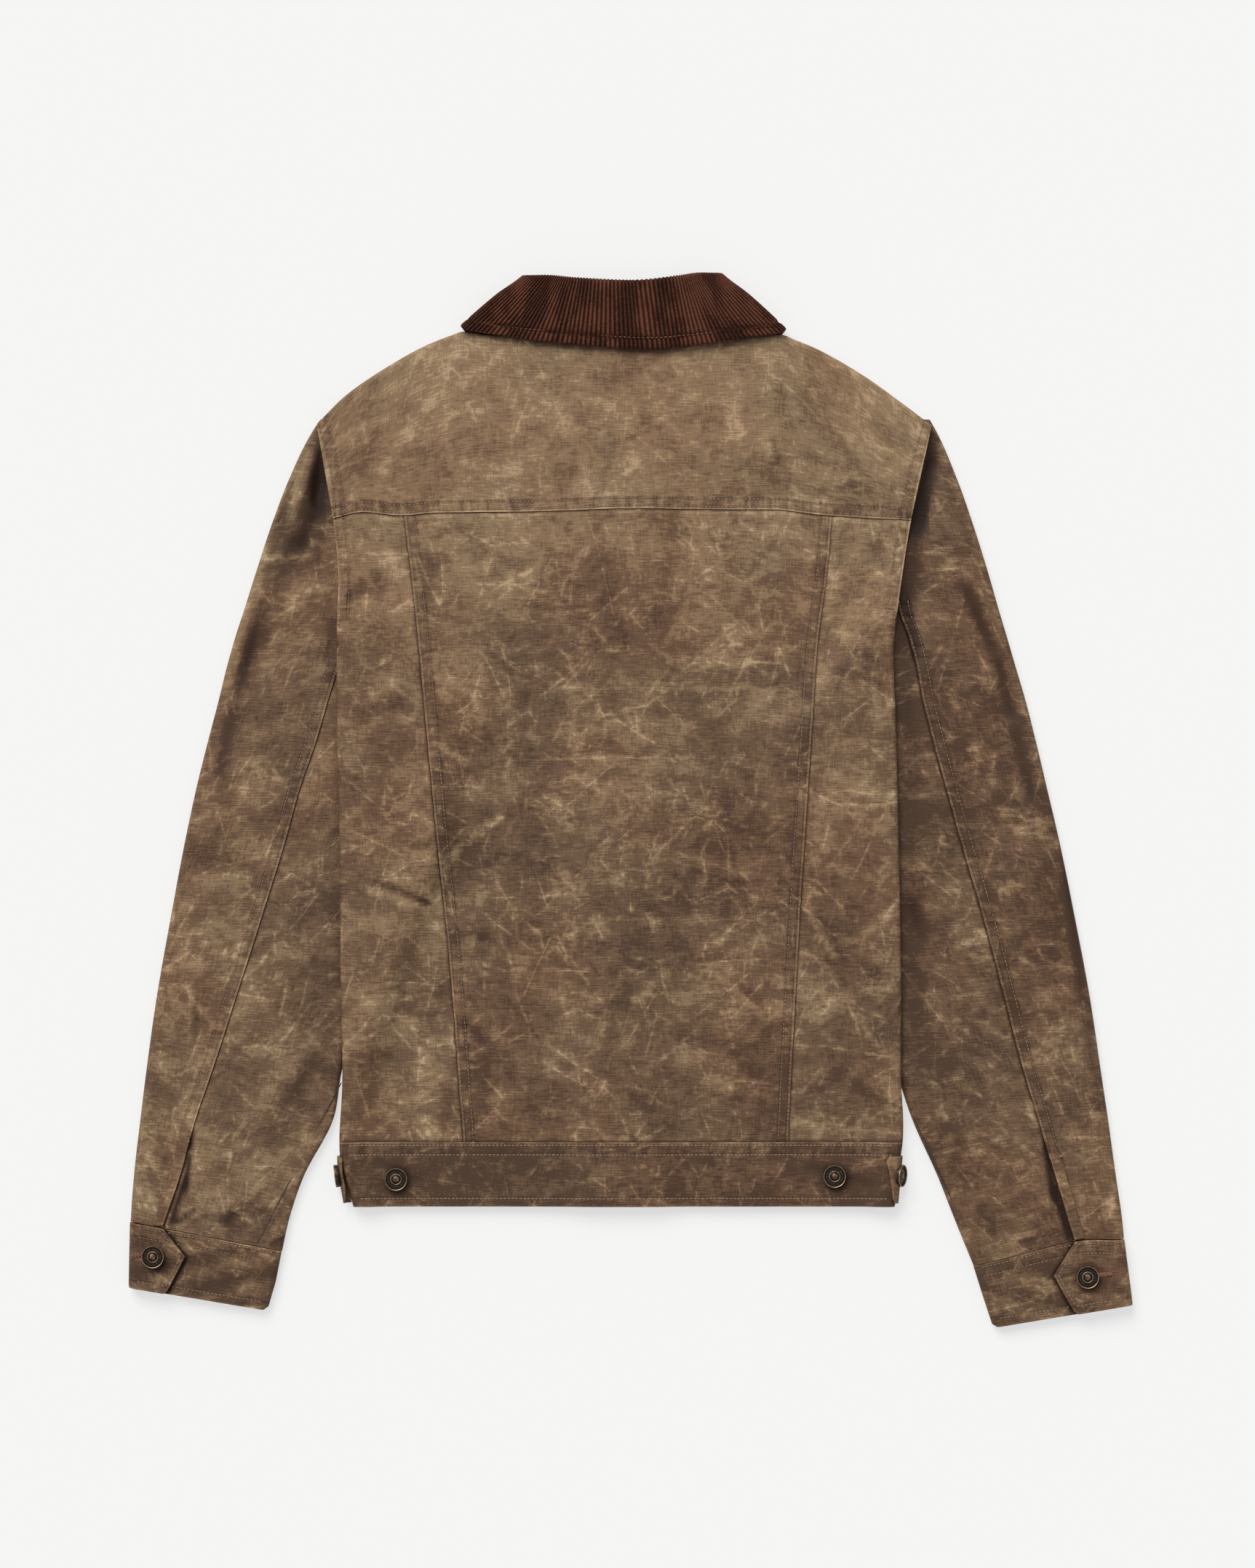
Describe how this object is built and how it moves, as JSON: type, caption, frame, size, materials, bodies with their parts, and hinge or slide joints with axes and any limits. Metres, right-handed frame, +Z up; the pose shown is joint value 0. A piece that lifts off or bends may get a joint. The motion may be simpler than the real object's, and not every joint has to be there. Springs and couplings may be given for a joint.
{
  "type": "waxed cotton trucker jacket laid flat, back up",
  "caption": "Waxed cotton trucker jacket with a corduroy collar, laid flat on its front with its back up",
  "frame": {"origin": "middle of the footprint, on the surface that the jacket lies on", "axes": "+Z up out of the surface, +Y from the hem to the collar, +X across the back"},
  "size_m": [0.7559, 0.7937, 0.0219],
  "materials": {
    "waxed_canvas": "dry waxed cotton canvas, tan brown, marbled darker where the wax is thick",
    "corduroy": "wide-wale cotton corduroy, dark red brown",
    "antique_brass": "darkened brass, worn bright on the rim"
  },
  "bodies": {
    "root": {"back_yoke": "waxed_canvas", "back_centre": "waxed_canvas", "back_side_left": "waxed_canvas", "back_side_right": "waxed_canvas", "front_left": "waxed_canvas", "front_right": "waxed_canvas", "front_placket": "waxed_canvas", "waistband_back": "waxed_canvas", "waistband_front_left": "waxed_canvas", "waistband_front_right": "waxed_canvas", "waist_tab_left": "waxed_canvas", "waist_tab_right": "waxed_canvas", "sleeve_top_left": "waxed_canvas", "sleeve_top_right": "waxed_canvas", "sleeve_under_left": "waxed_canvas", "sleeve_under_right": "waxed_canvas", "sleeve_placket_left": "waxed_canvas", "sleeve_placket_right": "waxed_canvas", "cuff_left": "waxed_canvas", "cuff_right": "waxed_canvas", "collar_fall": "corduroy", "collar_stand": "corduroy", "waist_button_left": "antique_brass", "waist_button_right": "antique_brass", "tab_button_left": "antique_brass", "tab_button_right": "antique_brass", "cuff_button_left": "antique_brass", "cuff_button_right": "antique_brass", "front_button_1": "antique_brass", "front_button_2": "antique_brass", "front_button_3": "antique_brass", "front_button_4": "antique_brass", "front_button_5": "antique_brass", "front_button_6": "antique_brass"}
  },
  "joints": []
}
